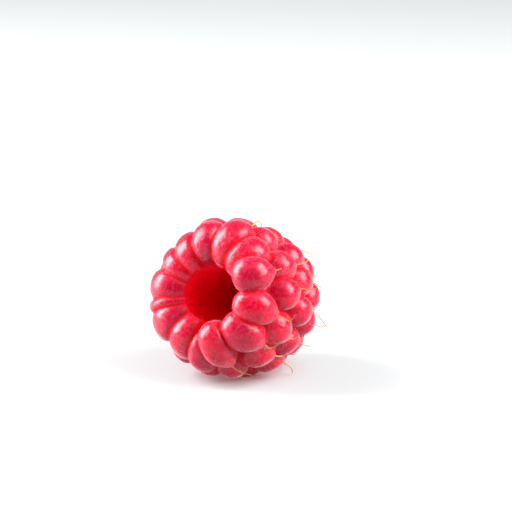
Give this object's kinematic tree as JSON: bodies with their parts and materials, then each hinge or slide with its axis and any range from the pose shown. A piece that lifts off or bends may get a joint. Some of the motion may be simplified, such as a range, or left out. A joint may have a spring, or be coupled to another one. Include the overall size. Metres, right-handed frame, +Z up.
{
  "type": "raspberry",
  "caption": "Picked raspberry lying on its side: a hollow cone of fused round drupelets with an open mouth where the receptacle was.",
  "frame": {"origin": "on the ground, under the middle of the lying berry's box", "axes": "+Z up; the berry lies on its side with its tip towards +Y and its open mouth towards -Y, the mouth looking up 17 degrees"},
  "size_m": [0.0222, 0.0242, 0.0225],
  "materials": {
    "fruit_flesh": "soft, moist red flesh with a pale velvety bloom and fine down"
  },
  "bodies": {
    "root": {"fruit": "fruit_flesh"}
  },
  "joints": []
}
